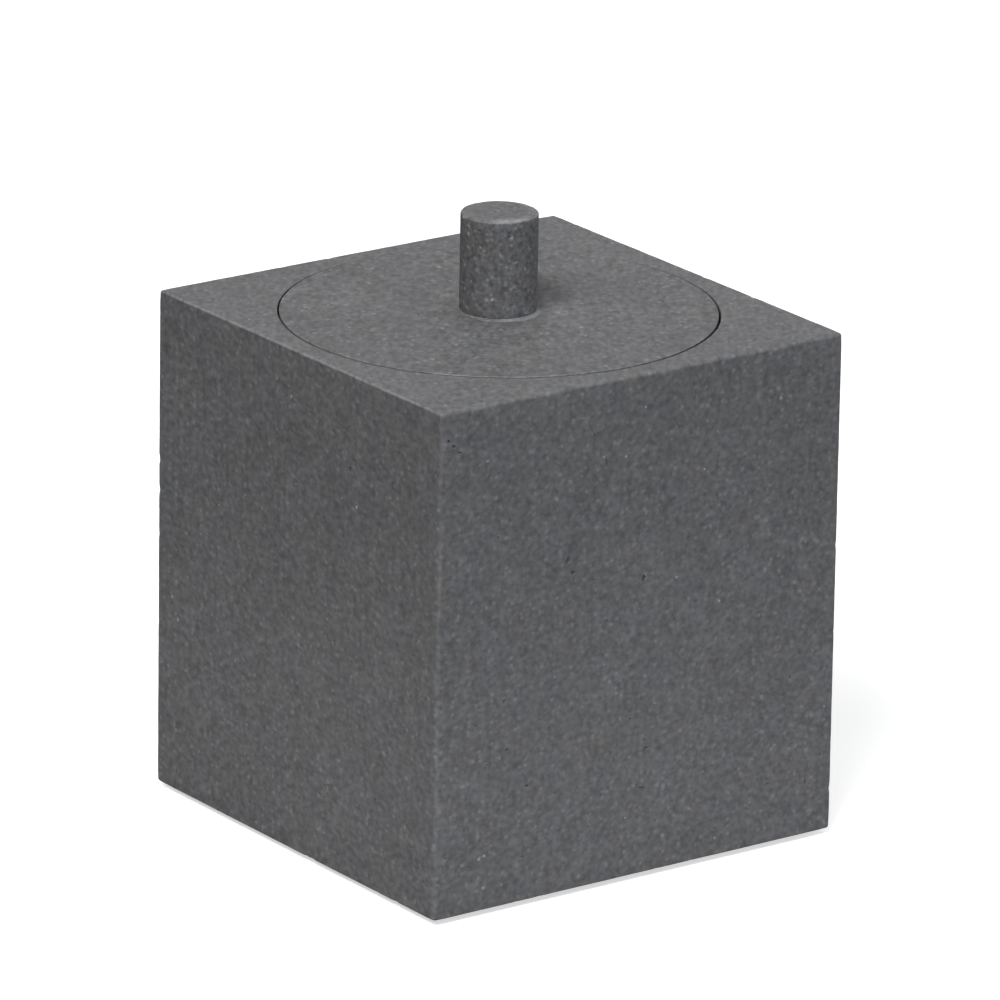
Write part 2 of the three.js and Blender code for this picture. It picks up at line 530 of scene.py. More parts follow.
# Pores and crystals that the photograph shows: its pixel, half the width and height, and the tilt
SHOWN_PORES = {
    RIGHT_FACE: (
        (568, 561, 0.60, 1.12, 0), (573, 573, 0.62, 0.50, -20), (574, 579, 0.25, 0.45, 0),
        (644, 578, 0.66, 0.92, 25), (607, 463, 0.34, 0.95, 0), (449, 442, 0.55, 0.38, -40),
        (454, 447, 0.50, 0.40, -35), (460, 453, 0.42, 0.30, -30), (504, 701, 0.45, 0.52, 10),
        (507, 750, 0.46, 0.48, 0), (527, 786, 0.40, 0.50, 30), (646, 748, 0.48, 0.42, 0),
        (644, 740, 0.30, 0.30, 0), (641, 788, 0.80, 0.34, -12), (790, 677, 0.42, 0.36, 0),
        (783, 695, 0.36, 0.32, 0), (820, 754, 0.34, 0.32, 0), (805, 782, 0.34, 0.58, 10),
        (767, 784, 0.55, 0.36, 0), (766, 779, 0.30, 0.28, 0), (588, 827, 0.34, 0.36, 0),
        (522, 857, 0.38, 0.42, 0),
    ),
    LEFT_FACE: (
        (353, 460, 0.95, 0.32, -10), (350, 470, 0.66, 0.70, 20), (340, 567, 0.36, 0.32, 0),
        (328, 786, 0.40, 0.34, 0), (327, 794, 0.46, 0.38, 0), (375, 800, 0.52, 0.44, 0),
        (358, 716, 0.50, 0.52, 0), (219, 802, 0.50, 0.40, 0),
    ),
}
SHOWN_CRYSTALS = {
    RIGHT_FACE: (
        (479, 859, 0.60, 0.44, 20), (484, 856, 0.38, 0.32, 0), (488, 461, 0.44, 0.38, 0),
        (781, 398, 0.58, 0.42, 0), (646, 407, 0.36, 0.34, 0), (793, 676, 0.30, 0.44, 0),
        (648, 583, 0.55, 0.26, 0), (604, 457, 0.36, 0.36, 0),
    ),
    LEFT_FACE: ((178, 619, 0.46, 0.66, 0), (256, 822, 0.40, 0.42, 0)),
}
SHOWN_SPACING = 1.15

# Random pores and crystals
ON_A_SIDE, ON_TOP = (60, 9), (14, 2)
FACE_GRID = 6 * MM


class Face:
    """One flat face of the block: its normal, its middle, and the axes u and v that lie in it."""

    def __init__(self, normal_axis, sign):
        self.key, self.normal_axis, self.sign = (normal_axis, sign), normal_axis, sign
        self.u, self.v = [i for i in range(3) if i != normal_axis]
        self.half_u, self.half_v = BLOCK_HALF[self.u], BLOCK_HALF[self.v]
        self.normal = AXES[normal_axis] * sign
        self.middle = BLOCK_CENTRE + self.normal * BLOCK_HALF[normal_axis]

    def lift(self, p, depth):
        return self.middle + AXES[self.u] * p.x + AXES[self.v] * p.y - self.normal * depth

    def side(self, edges, run_axis, other_axis, other_sign):
        """Along one edge of the face, how far it is rounded."""
        pair = {self.normal_axis: self.sign, other_axis: other_sign}
        first, second = [i for i in range(3) if i != run_axis]
        arris = edges[run_axis, pair[first], pair[second]]
        return [(s - BLOCK_HALF[run_axis], arris.rounding(s)) for s in edge_stations(arris.length)]

    def outline(self, edges):
        """The outline inside the four worn edges, as points in u and v from the middle."""
        u, v = self.u, self.v
        points = [Vector((s, e - self.half_v)) for s, e in self.side(edges, u, v, -1)][:-1]
        points += [Vector((self.half_u - e, s)) for s, e in self.side(edges, v, u, 1)][:-1]
        points += [Vector((s, self.half_v - e)) for s, e in reversed(self.side(edges, u, v, 1))][:-1]
        points += [Vector((e - self.half_u, s)) for s, e in reversed(self.side(edges, v, u, -1))][:-1]
        return points

    def shown(self, kind, table):
        """The pores or crystals that the photograph shows on this face."""
        specks = []
        for across, down, half_wide, half_high, tilt in table.get(self.key, ()):
            place = seen_at((across, down), self.middle, self.normal) - BLOCK_CENTRE
            margin = max(half_wide, half_high) * MM * SPECK_RAGGED[1] + SPECK_MARGIN
            centre = Vector([
                min(max(place[axis], margin - half), half - margin)
                for axis, half in ((self.u, self.half_u), (self.v, self.half_v))])
            specks.append(Speck(kind, centre, half_wide * MM, half_high * MM, radians(tilt)))
        return specks

    def inside(self, rng):
        """A random place on the face, or None in the recess of the top."""
        u = rng.uniform(-1, 1) * (self.half_u - 2 * SPECK_MARGIN)
        v = rng.uniform(-1, 1) * (self.half_v - 2 * SPECK_MARGIN)
        if self.key == TOP_FACE and hypot(u, v) < RECESS_RADIUS + 2 * SPECK_MARGIN:
            return None
        return Vector((u, v))

    def specks(self, rng):
        """Its pores and crystals: those of the photograph that don't overlap, then random ones."""
        specks = []
        for a in self.shown(PORE, SHOWN_PORES) + self.shown(CRYSTAL, SHOWN_CRYSTALS):
            if all((a.centre - b.centre).length > (a.reach + b.reach) * SHOWN_SPACING for b in specks):
                specks.append(a)
        pores, crystals = ON_TOP if self.key == TOP_FACE else ON_A_SIDE
        specks = scatter_pores(rng, pores, self.inside, specks)
        return scatter_crystals(rng, crystals, self.inside, specks)

    def add_to(self, net, rng, edges, rim):
        holes, clear = [], 0.0
        if self.key == TOP_FACE:
            holes, clear = [flattened(rim)], RECESS_RADIUS + 3 * SPECK_MARGIN
        spots = even_grid(self.half_u, self.half_v, FACE_GRID, lambda p: p.length > clear)
        pored_patch(net, rng, self.outline(edges), holes, self.specks(rng), self.lift, spots)


def even_grid(half_u, half_v, step, keep):
    """A plain grid of inner points, so that the triangles stay well shaped."""
    count_u, count_v = round(2 * half_u / step), round(2 * half_v / step)
    spots = [
        Vector((2 * half_u * i / count_u - half_u, 2 * half_v * j / count_v - half_v))
        for i in range(1, count_u) for j in range(1, count_v)
    ]
    return [spot for spot in spots if keep(spot)]


# Turned edges, and the bore

RIM_STEPS = 384
RECESS_BREAK = 0.10 * MM
RECESS_VARY = 0.02 * MM
RECESS_WAVES, RECESS_FINE_WAVES = 9, 31
FILLET_STEPS = 6
ROUND_MIDDLE = 0.3
FLOOR_RINGS = (0.7, 0.4, 0.1)


def turned_edge(worn, radius, level, upward, outward=1):
    """Rows of a rounded edge, from the flat face at level onto the side, as functions of the angle."""
    return [(
        lambda a, angle=angle: radius - outward * worn(a) * (1 - sin(angle)),
        lambda a, angle=angle: level - upward * worn(a) * (1 - cos(angle)),
    ) for angle in quarter_angles(ARRIS_ARC_STEPS)]


def quarter_round(radius, level, rounding, steps):
    """A rounding from the wall at radius down to the flat at level, as radii and heights."""
    return [
        (radius - rounding * (1 - cos(angle)), level + rounding * (1 - sin(angle)))
        for angle in quarter_angles(steps)[1:]
    ]


def add_bore(net, rng):
    """The recess, ledge, well and floor. Returns the rim where they meet the top face."""
    arris = Arris(rng, tau * RECESS_RADIUS)

    def worn(angle):
        turn = polar(1, angle)
        strays = wander(turn * RECESS_WAVES + arris.offset, turn * RECESS_FINE_WAVES + arris.offset)
        return RECESS_BREAK + RECESS_VARY * strays + arris.chip(angle * RECESS_RADIUS)

    mouth = turned_edge(worn, RECESS_RADIUS, BLOCK_HIGH.z, 1, -1)
    edge, middle = ARRIS, ARRIS * ROUND_MIDDLE
    inner = [
        (RECESS_RADIUS, LEDGE_TOP + edge),
        (RECESS_RADIUS - middle, LEDGE_TOP + middle),
        (RECESS_RADIUS - edge, LEDGE_TOP),
        (WELL_RADIUS + edge, LEDGE_TOP),
        (WELL_RADIUS + middle, LEDGE_TOP - middle),
        (WELL_RADIUS, LEDGE_TOP - edge),
        (WELL_RADIUS, (LEDGE_TOP + WELL_FLOOR) / 2),
        (WELL_RADIUS, WELL_FLOOR + WELL_FILLET),
        *quarter_round(WELL_RADIUS, WELL_FLOOR, WELL_FILLET, FILLET_STEPS),
        *[(WELL_RADIUS * share, WELL_FLOOR) for share in FLOOR_RINGS],
    ]
    rows = turned(mouth + inner, RIM_STEPS)
    net.grid(rows, bored=[0.0] * len(mouth) + [1.0] * len(inner))
    net.fan(rows[-1], Vector((0, 0, WELL_FLOOR)), bored=1.0)
    return rows[0]


def make_block():
    rng = random.Random(BLOCK_SEED)
    net = Net()
    edges = block_edges(rng)
    for key, arris in edges.items():
        add_edge(net, *key, arris)
    for signs in product(SIGNS, repeat=3):
        add_corner(net, signs)
    rim = add_bore(net, rng)
    for normal_axis, sign in product(range(3), SIGNS):
        Face(normal_axis, sign).add_to(net, rng, edges, rim)
    return make_piece("honed_block", net)


# The lid

LID_PORES = 46
LID_BREAK = 0.18 * MM
# The lid's rim is a little paler all round for wear, and much paler toward the camera as a painted
# highlight.
LID_WEAR, LID_WEAR_AND_HIGHLIGHT_FRONT = 0.35, 0.85
LID_HIGHLIGHT_HALF = radians(95)
LID_TOWARD, LID_LEFT = 0.32 * MM, 0.08 * MM
LID_OFFSET = LEVEL_TOWARD * LID_TOWARD - LEVEL_RIGHT * LID_LEFT
DISC_GRID = 5 * MM
HOLE_STEPS = 32


def worn_circle(rng, radius, mean):
    """The rounding of a turned edge as a function of the angle, with chips."""
    arris = Arris(rng, tau * radius)

    def worn(angle):
        turn = polar(1, angle) * (radius / WANDER_LENGTH)
        strays = wander(turn + arris.offset, turn * WANDER_FINER + arris.offset)
        return mean + ARRIS_VARY * strays + arris.chip(angle * radius)

    return worn


def disc_pores(rng, count, radius, keep_out):
    def inside(r):
        reach = sqrt(r.random()) * (radius - 2 * SPECK_MARGIN)
        angle = r.uniform(0, tau)
        if reach < keep_out + 2 * SPECK_MARGIN:
            return None
        return polar(reach, angle).xy

    return scatter_pores(rng, count, inside)


def add_disc_face(net, rng, rim, level, upward, pores, hole_radius, grid, pale=None, calm=0.0):
    """A flat round face with pores, and with the dowel's hole if it has one."""
    outline = flattened(rim)
    holes = [flattened(circle(hole_radius, level, HOLE_STEPS))] if hole_radius else []
    reach = max(p.length for p in outline)
    spots = even_grid(reach, reach, grid, lambda p: hole_radius + grid / 2 < p.length < reach - grid / 2)

    def lift(p, depth):
        return Vector((p.x, p.y, level - upward * depth))

    pored_patch(net, rng, outline, holes, pores, lift, spots, pale, calm)


def add_hole(net, mouth, floor):
    """The blind hole of the dowel."""
    rows = turned(((HOLE_RADIUS, mouth), (HOLE_RADIUS, floor)), HOLE_STEPS)
    net.grid(rows)
    net.fan(rows[-1], Vector((0, 0, floor)))


def make_lid():
    """The loose lid, which lies a little off the middle of its recess, toward the camera and left."""
    rng = random.Random(LID_SEED)
    net = Net()
    upper = turned_edge(worn_circle(rng, LID_RADIUS, LID_BREAK), LID_RADIUS, LID_HIGH.z, 1)
    lower = turned_edge(worn_circle(rng, LID_RADIUS, LID_BREAK), LID_RADIUS, LID_LOW.z, -1)
    rows = [[p + LID_OFFSET for p in row] for row in turned(upper + lower[::-1], RIM_STEPS)]
    # Painted highlight: the rim is paler on the side toward the camera.
    front_highlight = [near_angle(angle, CAMERA_TURN, LID_HIGHLIGHT_HALF) for angle in round_angles(RIM_STEPS)]
    worn = [between(LID_WEAR, LID_WEAR_AND_HIGHLIGHT_FRONT, share) for share in front_highlight]
    net.grid(rows, wear=[[w * v for v in worn] for w in ARC_WEAR_AND_HIGHLIGHT + ARC_WEAR_AND_HIGHLIGHT])
    top_pores = disc_pores(rng, LID_PORES, LID_RADIUS, BEAD_HIGH.x)
    add_disc_face(net, rng, rows[0], LID_HIGH.z, 1, top_pores, HOLE_RADIUS, DISC_GRID)
    low_pores = disc_pores(rng, LID_PORES, LID_RADIUS, 0.0)
    add_disc_face(net, rng, rows[-1], LID_LOW.z, -1, low_pores, 0.0, DISC_GRID)
    add_hole(net, LID_HIGH.z, DOWEL_LOW.z)
    return make_piece("lid_stone_disc", net)


# The knob

KNOB_STEPS = 128
KNOB_ROW = 0.8 * MM
KNOB_TOP_BREAK = 0.4 * MM
KNOB_FOOT_BREAK = 0.12 * MM
KNOB_SIDE_PORES = 12
KNOB_TOP_PORES = 6
KNOB_GRID = 0.8 * MM
KNOB_LEFT = 0.25 * MM
KNOB_OFFSET = LEVEL_RIGHT * -KNOB_LEFT

# Pores that the photograph shows: degrees round from the camera's side, then in millimetres how
# far below the top, and half the width and height
KNOB_SHOWN_PORES = ((-30, 2.2, 0.50, 0.42), (15, 3.1, 0.42, 0.30))


def add_knob_side(net, rng, low_row, high_row):
    """The round side, laid out flat with its pores and then bent round."""
    around = tau * KNOB_RADIUS
    low, high = low_row[0].z, min(p.z for p in high_row)
    rows = round((high - low) / KNOB_ROW)
    levels = [low + (high - low) * j / rows for j in range(1, rows)]
    columns = range(KNOB_STEPS + 1)

    def spot(i, z):
        return Vector((around * i / KNOB_STEPS, z))

    def inside(r):
        u = r.uniform(2 * SPECK_MARGIN, around - 2 * SPECK_MARGIN)
        return Vector((u, r.uniform(low + SPECK_MARGIN, high - SPECK_MARGIN)))

    def lift(p, depth):
        return polar(KNOB_RADIUS - depth, p.x / KNOB_RADIUS, p.y)

    outline = [spot(i, low) for i in columns] + [spot(KNOB_STEPS, z) for z in levels]
    outline += [spot(i, high_row[i % KNOB_STEPS].z) for i in reversed(columns)]
    outline += [spot(0, z) for z in reversed(levels)]
    spots = [spot(i, z) for i in columns[1:-1] for z in levels]
    shown = []
    for turn, below_top, half_wide, half_high in KNOB_SHOWN_PORES:
        angle = (CAMERA_TURN + radians(turn)) % tau
        place = Vector((angle * KNOB_RADIUS, KNOB_HIGH.z - below_top * MM))
        shown.append(Speck(PORE, place, half_wide * MM, half_high * MM))
    pores = scatter_pores(rng, KNOB_SIDE_PORES, inside, shown)
    pored_patch(net, rng, outline, [], pores, lift, spots)


# Painted highlight: one side of the knob's top edge, and the top just inside it, is painted pale where a
# highlight falls; the rest of the edge is a little paler for rubbing.
KNOB_HIGHLIGHT_AT, KNOB_HIGHLIGHT_HALF = radians(-20), radians(45)
RUB_AND_HIGHLIGHT_FROM, RUB_AND_HIGHLIGHT_FULL = 0.58, 0.94
KNOB_HIGHLIGHT_PALE = 1.0
TOP_EDGE_PALE = 0.16
TOP_PALE = 0.05
KNOB_WEAR, KNOB_WEAR_AND_HIGHLIGHT = 0.4, 1.0


def knob_highlight_share(angle):
    """How pale the knob's top edge is painted at an angle: a painted highlight on the side that the
    photograph shows bright.
    """
    return near_angle(angle, KNOB_HIGHLIGHT_AT, KNOB_HIGHLIGHT_HALF)


def knob_top_rub_and_highlight(p):
    """How pale the knob's top is at a place: a little for rubbing, most just inside its edge where the
    painted highlight lies.
    """
    near_edge = smooth_step((p.length / KNOB_RADIUS - RUB_AND_HIGHLIGHT_FROM) / (RUB_AND_HIGHLIGHT_FULL - RUB_AND_HIGHLIGHT_FROM))
    at_edge = between(TOP_EDGE_PALE, KNOB_HIGHLIGHT_PALE, knob_highlight_share(atan2(p.y, p.x)))
    return between(TOP_PALE, at_edge, near_edge)


def make_knob():
    rng = random.Random(KNOB_SEED)
    net = Net()
    upper = turned_edge(worn_circle(rng, KNOB_RADIUS, KNOB_TOP_BREAK), KNOB_RADIUS, KNOB_HIGH.z, 1)
    lower = turned_edge(lambda a: KNOB_FOOT_BREAK, KNOB_RADIUS, KNOB_LOW.z, -1)
    high_rows, low_rows = turned(upper, KNOB_STEPS), turned(lower, KNOB_STEPS)
    # The top edge's worn and crystal marks carry the painted highlight on one side.
    highlight_shares = [knob_highlight_share(angle) for angle in round_angles(KNOB_STEPS)]
    worn = [between(KNOB_WEAR, KNOB_WEAR_AND_HIGHLIGHT, share) for share in highlight_shares]
    pale = [KNOB_HIGHLIGHT_PALE * share for share in highlight_shares]
    net.grid(high_rows, wear=[[w * v for v in worn] for w in ARC_WEAR_AND_HIGHLIGHT],
             crystal=[pale, *[0.0] * ARRIS_ARC_STEPS])
    net.grid(low_rows)
    add_knob_side(net, rng, low_rows[-1], high_rows[-1])
    pores = disc_pores(rng, KNOB_TOP_PORES, KNOB_RADIUS, 0.0)
    # The top is painted paler toward its edge, most where the highlight falls.
    add_disc_face(net, rng, high_rows[0], KNOB_HIGH.z, 1, pores, 0.0, KNOB_GRID, knob_top_rub_and_highlight, calm=1.0)
    add_disc_face(net, rng, low_rows[0], KNOB_LOW.z, -1, [], HOLE_RADIUS, KNOB_GRID)
    add_hole(net, KNOB_LOW.z, DOWEL_HIGH.z + DOWEL_CLEARANCE)
    net.shift(KNOB_OFFSET)
    return make_piece("knob_stone_pillar", net)


BEAD_STEPS = 160
BEAD_VARY, BEAD_DRAWN_IN = 0.06 * MM, 0.4
BEAD_WAVES, BEAD_LAYER = 2.3, 3
# The bead spreads widest where a highlight falls at the knob's foot: real adhesive, partly a painted
# highlight
BEAD_WIDE_AT, BEAD_WIDE_HALF = radians(28), radians(76)
BEAD_THIN_SHARE = 0.08
BEAD_SPREADS = (0.75 * MM, 0.55 * MM, 0.20 * MM, 0.0)
BEAD_LIP, BEAD_NECK = 0.1 * MM, 0.08 * MM


def bead_radius(out, layer):
    """How far one layer of the bead reaches, as a function of the angle."""
    def radius(angle):
        turn = polar(1, angle, layer * BEAD_LAYER)
        share = between(BEAD_THIN_SHARE, 1, near_angle(angle, BEAD_WIDE_AT, BEAD_WIDE_HALF))
        return KNOB_RADIUS + out * share + BEAD_VARY * (noise.noise(turn * BEAD_WAVES) - BEAD_DRAWN_IN)

    return radius


def make_bead():
    """The adhesive under the knob, squeezed out into a small uneven bead, widest toward the camera's
    right, where its pale tone is also a painted highlight at the knob's foot.
    """
    low, high = BEAD_LOW.z, BEAD_HIGH.z
    heights = (low, low + BEAD_LIP, (low + high) / 2, high - BEAD_NECK)
    outer = [(bead_radius(out, layer), heights[layer]) for layer, out in enumerate(BEAD_SPREADS)]
    section = [(HOLE_RADIUS, low), *outer, (KNOB_RADIUS - KNOB_FOOT_BREAK, high), (HOLE_RADIUS, high)]
    net = turned_ring(section, BEAD_STEPS)
    net.shift(KNOB_OFFSET)
    return make_piece("knob_adhesive_bead", net)


# The soft pieces

RING_STEPS = 256
RING_ROUND = 0.3 * MM
RING_MARGIN = 0.8 * MM
SECTION_STEPS = 4


def make_seat_ring():
    """A flat ring whose section has four rounded corners, begun at the outer lower one."""
    near, far = WELL_RADIUS + RING_MARGIN + RING_ROUND, RING_HIGH.x - RING_ROUND
    low, high = RING_LOW.z + RING_ROUND, RING_HIGH.z - RING_ROUND
    section = []
    for corner, (r, z) in enumerate(((far, low), (far, high), (near, high), (near, low))):
        for angle in quarter_angles(SECTION_STEPS):
            turn = angle + (corner - 1) * pi / 2
            section.append((r + RING_ROUND * cos(turn), z + RING_ROUND * sin(turn)))
    return make_piece("seat_ring_silicone", turned_ring(section, RING_STEPS))


FOOT_STEPS = 72
FOOT_ROUND = 0.4 * MM
FOOT_TOP_BREAK = 0.05 * MM
FOOT_GROOVE_AT = 0.72
FOOT_GROOVE_DEPTH = 0.18 * MM
FOOT_GROOVE_HALF = 0.35 * MM


def make_foot(node):
    """A moulded rubber disc with a rounded lower edge and a shallow ring moulded into its sole."""
    low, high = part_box(node)
    centre, radius = (low + high) / 2, (high.x - low.x) / 2
    groove = radius * FOOT_GROOVE_AT
    profile = [
        (radius - FOOT_TOP_BREAK, high.z),
        (radius, high.z - FOOT_TOP_BREAK),
        (radius, low.z + FOOT_ROUND),
        *quarter_round(radius, low.z, FOOT_ROUND, SECTION_STEPS),
        (groove + FOOT_GROOVE_HALF, low.z),
        (groove + FOOT_GROOVE_HALF / 2, low.z + FOOT_GROOVE_DEPTH),
        (groove - FOOT_GROOVE_HALF / 2, low.z + FOOT_GROOVE_DEPTH),
        (groove - FOOT_GROOVE_HALF, low.z),
    ]
    rows = turned(profile, FOOT_STEPS)
    net = Net()
    net.grid(rows)
    net.fan(rows[-1], Vector((0, 0, low.z)))
    net.fan(rows[0], Vector((0, 0, high.z)))
    net.shift(Vector((centre.x, centre.y, 0)))
    return make_piece(node.replace("foot_", "rubber_foot_"), net)


# Materials

WHITE = (1, 1, 1, 1)


class Nodes:
    """A small helper that adds nodes to a new material or to a world, and links them."""

    def __init__(self, name, world=None):
        self.owner = world or bpy.data.materials.new(name)
        self.owner.use_nodes = True
        self.tree = self.owner.node_tree
        self.tree.nodes.clear()
        self.place = self.node("TexCoord", {}).outputs["Object"]

    def node(self, kind, inputs, **settings):
        """A node. Its inputs are numbers, colours or other nodes' outputs."""
        node = self.tree.nodes.new("ShaderNode" + kind)
        for name, setting in settings.items():
            setattr(node, name, setting)
        for name, value in inputs.items():
            if isinstance(value, bpy.types.NodeSocket):
                self.tree.links.new(value, node.inputs[name])
            else:
                node.inputs[name].default_value = value
        return node

    def moved(self, offset, stretch=(1, 1, 1), place=None):
        inputs = {"Vector": place or self.place, "Location": offset, "Scale": stretch}
        return self.node("Mapping", inputs).outputs[0]

    def drawn_out(self, angle, share, offset=(0, 0, 0)):
        """Coordinates with the level direction at angle shortened to share: grain lies along it."""
        turn = self.node("VectorRotate", {"Vector": self.place, "Angle": -angle}, rotation_type="Z_AXIS")
        return self.moved(offset, (share, 1, 1), turn.outputs[0])

    def noise(self, size, detail=2, rough=0.5, place=None):
        """Noise between about 0.3 and 0.7, with features of about size metres."""
        inputs = {"Vector": place or self.place, "Scale": 1 / size, "Detail": detail, "Roughness": rough}
        return self.node("TexNoise", inputs).outputs[0]

    def cells(self, size, place):
        """For cells of about size metres: a random value, the way from the middle, another value."""
        node = self.node("TexVoronoi", {"Vector": place, "Scale": 1 / size})
        split = self.node("SeparateColor", {0: node.outputs["Color"]})
        return split.outputs[0], node.outputs["Distance"], split.outputs[1]

    def ramp(self, value, low, high, to_low=0.0, to_high=1.0):
        inputs = {"Value": value, "From Min": low, "From Max": high, "To Min": to_low, "To Max": to_high}
        return self.node("MapRange", inputs).outputs[0]

    def math(self, operation, a, b=0.0):
        return self.node("Math", {0: a, 1: b}, operation=operation).outputs[0]

    def add(self, first, *others):
        for value in others:
            first = self.math("ADD", first, value)
        return first

    def times(self, first, *others):
        for value in others:
            first = self.math("MULTIPLY", first, value)
        return first

    def weighed(self, shares, *values):
        return self.add(*[self.times(value, share) for value, share in zip(values, shares)])

    def mix(self, share, a, b, way="MIX"):
        return self.node("Mix", {0: share, 6: a, 7: b}, data_type="RGBA", blend_type=way).outputs[2]

    def attribute(self, name):
        return self.node("Attribute", {}, attribute_name=name).outputs["Fac"]

    def ray(self, kind):
        """1 for the rays of one kind and 0 for all others."""
        return self.node("LightPath", {}).outputs[f"Is {kind} Ray"]

    def seen(self):
        """1 for the rays from the camera, straight or through something clear."""
        return self.math("MAXIMUM", self.ray("Camera"), self.ray("Transmission"))

    def bump(self, height, depth, strength):
        inputs = {"Strength": strength, "Distance": depth, "Height": height}
        return self.node("Bump", inputs).outputs[0]

    def surface(self, colour, rough, normal, **others):
        inputs = {"Base Color": colour, "Roughness": rough, "Normal": normal, **others}
        return self.finish(self.node("BsdfPrincipled", inputs))

    def finish(self, shader, kind="Material"):
        self.node("Output" + kind, {"Surface": shader.outputs[0]})
        return self.owner


def grey(value, blue=0.0):
    """A linear grey, a little bluer by the share blue."""
    return (value, value, value * (1 + blue), 1.0)


# The stone's tones, most of them a little blue
STONE_GREY, STONE_BLUE = 0.102, 0.03
PALE_GRAIN, DARK_GRAIN = grey(0.30, STONE_BLUE), grey(0.05, STONE_BLUE)
# The crystal tone also paints the knob's highlight, the worn tone also paints edge highlights, and the
# pore tone is painted shade in the pits
CRYSTAL_AND_HIGHLIGHT_TONE, WORN_AND_HIGHLIGHT_TONE, PORE_SHADE_TONE = grey(0.34), grey(0.20, STONE_BLUE), grey(0.06)
WARM_TINT, COOL_TINT = (1.012, 1.0, 0.982, 1), (0.988, 0.997, 1.028, 1)

# The sizes of its clouds in metres, and those of its grains in grain sizes of each stone
CLOUD_SIZE, BLOTCH_SIZE, HUE_SIZE = 24 * MM, 4.5 * MM, 7 * MM
FLECK_SIZE, FINE_SIZE, FAINT_SIZE, BRIGHT_SIZE = 2.0, 1.1, 1.05, 1.2
HUE_OFFSET, BRIGHT_OFFSET = (0.7, 0.2, 0.4), (0.3, 0.9, 0.6)

# How these are weighed, the ends of their ramps, and how strongly each shows
CLOUD_SHARES, MOTTLE_SHARES = (0.4, 0.6), (0.25, 0.75)
TONE_RAMP, HUE_RAMP, MOTTLE_RAMP = (0.34, 0.66), (0.36, 0.64), (0.26, 0.74)
FAINT_PICK, FAINT_REACH = (0.50, 0.56), (0.55, 0.10)
BRIGHT_PICK, BRIGHT_REACH = (0.88, 0.92), (0.45, 0.08)
DARK_PICK, DARK_REACH = (0.16, 0.10), (0.50, 0.10)
BRIGHT_RAGGED, BRIGHT_MARGIN = -0.9, 0.45
MOTTLE_DEPTH, FAINT_DEPTH, BRIGHT_DEPTH, DARK_DEPTH = 0.34, 0.32, 0.75, 0.40
CALM_SHARE = 0.55

# The marks of the mesh, which also carry painted highlights and painted shade, the polish and the relief
CRYSTAL_AND_HIGHLIGHT_RAMP = (0.36, 0.60, 0.45, 0.80)
WORN_AND_HIGHLIGHT_RAMP, WORN_AND_HIGHLIGHT_DEPTH, WORN_POLISH = (0.3, 0.6, 0.35, 1.0), 0.9, 0.2
PORE_SHADE_RAMP = (0.0, 0.8, 0.0, 0.85)
ROUGH_SHARES, ROUGH_RAMP = (0.7, 0.3), (0.3, 0.7, 0.60, 0.74)
RELIEF_SHARES = (0.5, 0.4, -0.2)
RELIEF_DEPTH, RELIEF_STRENGTH = 0.05 * MM, 0.5
STONE_SHEEN = 0.42
HONING_PITCH, HONING_LENGTH, HONING_PATCH = 0.35 * MM, 9 * MM, 9 * MM
HONING_RAMP, HONING_PATCH_RAMP, HONING_RELIEF = (0.62, 0.78), (0.42, 0.66), -0.5
TOOL_PITCH, TOOL_BAND = 0.6 * MM, 6 * MM
TOOL_RAMP, TOOL_RELIEF = (0.3, 0.7, 0.4, 1.0), 1.6

BLOCK_STONE = dict(
    grain=1.0, size=1.08 * MM, body=STONE_GREY, clouds=0.11,
    specks=0.42, fabric=0.62, honed=0.0, offset=(0, 0, 0),
)
LID_STONE = dict(
    grain=1.15, size=1.12 * MM, body=STONE_GREY * 0.93, clouds=0.10,
    specks=0.62, fabric=0.62, honed=0.45, offset=(0.31, 0.17, 0.05),
)
KNOB_STONE = dict(
    grain=1.45, size=0.9 * MM, body=STONE_GREY * 0.88, clouds=0.03,
    specks=1.2, fabric=0.8, honed=0.0, offset=(0.83, 0.49, 0.27),
)


